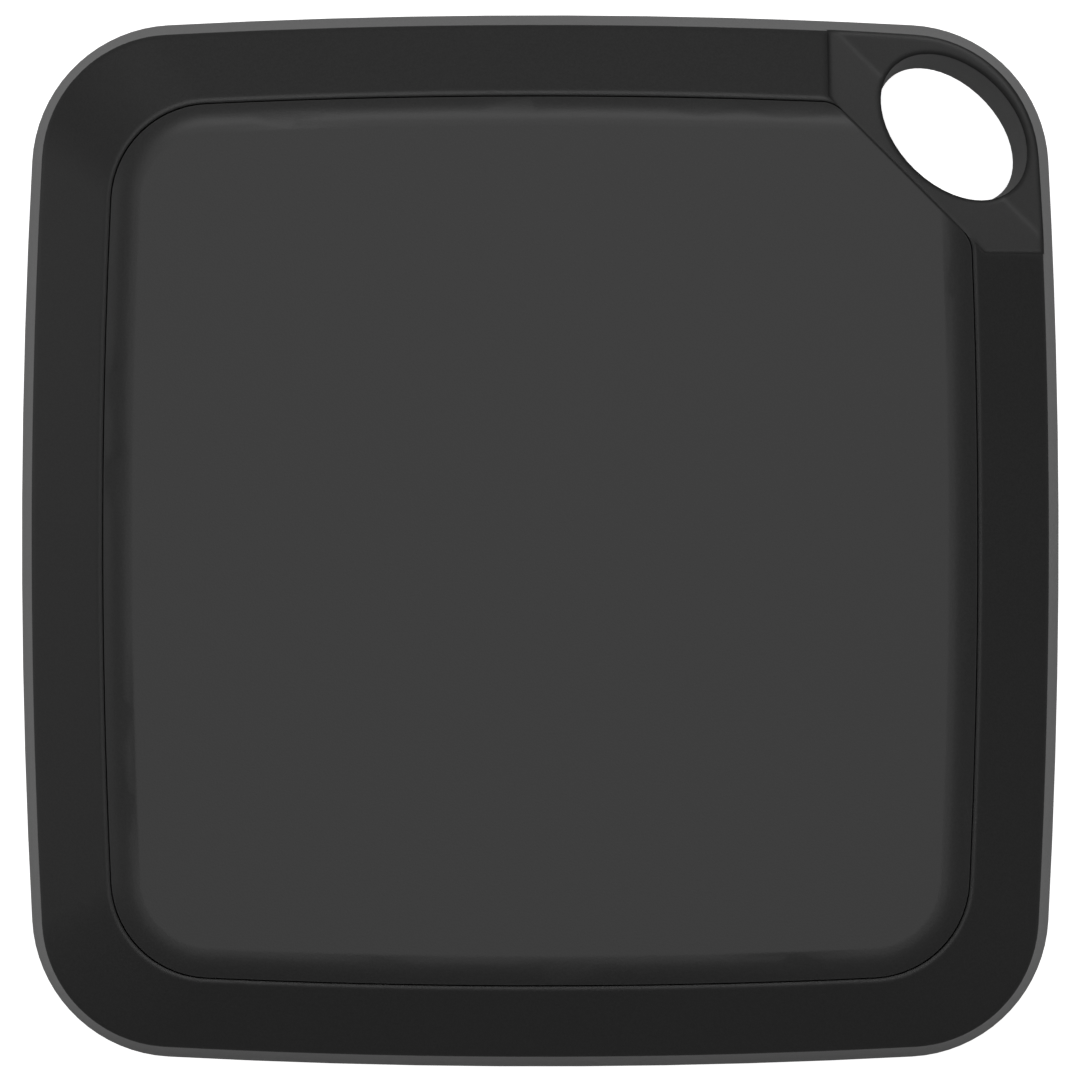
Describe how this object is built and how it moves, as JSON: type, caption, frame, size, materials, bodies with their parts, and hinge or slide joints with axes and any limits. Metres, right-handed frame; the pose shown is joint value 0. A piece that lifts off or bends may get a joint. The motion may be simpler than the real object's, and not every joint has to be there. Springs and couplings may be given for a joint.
{
  "type": "bluetooth tracker tag",
  "caption": "Square coin-cell tracker tag with a raised press pad on sloped faces, a drafted rim and a key-ring lug in one corner; opens in two halves.",
  "frame": {"origin": "bottom centre of the bounding box, on the flat back", "axes": "+Z out of the front face, +Y up, the key-ring lug in the +X +Y corner"},
  "size_m": [0.036, 0.0364, 0.008],
  "materials": {
    "shell_plastic": "matte",
    "pad_plastic": "matte",
    "inner_plastic": "matte",
    "silicone": "matte",
    "foam": "matte",
    "board": "satin",
    "steel": "satin",
    "spring_steel": "satin",
    "chip_black": "matte",
    "ceramic_white": "matte",
    "capacitor_tan": "matte",
    "brass": "satin",
    "silver_ceramic": "matte",
    "adhesive": "matte"
  },
  "bodies": {
    "base": {"rear_cover": "shell_plastic", "rear_seal": "silicone", "battery_cushion": "foam"},
    "cell": {"battery_can": "steel", "battery_gasket": "inner_plastic", "battery_cap": "steel"},
    "pad": {"face_pad": "pad_plastic", "sounder_ring": "adhesive", "sounder_plate": "brass", "sounder_ceramic": "silver_ceramic", "push_dot": "silicone"},
    "plunger": {"switch_plunger": "ceramic_white"},
    "front": {"front_shell": "shell_plastic", "pad_gasket": "silicone", "battery_tray": "inner_plastic", "circuit_board": "board", "board_screws": "steel", "bluetooth_chip": "chip_black", "main_crystal": "steel", "clock_crystal": "steel", "chip_antenna": "ceramic_white", "motion_sensor": "chip_black", "sounder_driver": "chip_black", "boost_inductor": "chip_black", "reservoir_capacitor": "capacitor_tan", "capacitors": "capacitor_tan", "resistors": "chip_black", "switch_body": "steel", "sounder_contacts": "spring_steel", "positive_contact": "spring_steel", "negative_contact": "spring_steel"}
  },
  "joints": [
    {"name": "front_lift", "type": "slide", "parent": "base", "child": "front", "axis": [0, 0, 1], "range_m": [0, 0.016]},
    {"name": "cell_lift", "type": "slide", "parent": "base", "child": "cell", "axis": [0, 0, 1], "range_m": [0, 0.0064]},
    {"name": "pad_press", "type": "slide", "parent": "front", "child": "pad", "axis": [0, 0, -1], "range_m": [0, 0.00025], "stiffness_N_per_m": 1500, "deforming": ["pad_gasket", "sounder_contacts"]},
    {"name": "plunger_press", "type": "slide", "parent": "front", "child": "plunger", "axis": [0, 0, -1], "range_m": [0, 0.00025]}
  ],
  "couplings": [
    {"joint": "cell_lift", "follows": "front_lift", "ratio": 0.4},
    {"joint": "plunger_press", "follows": "pad_press", "ratio": 1}
  ]
}
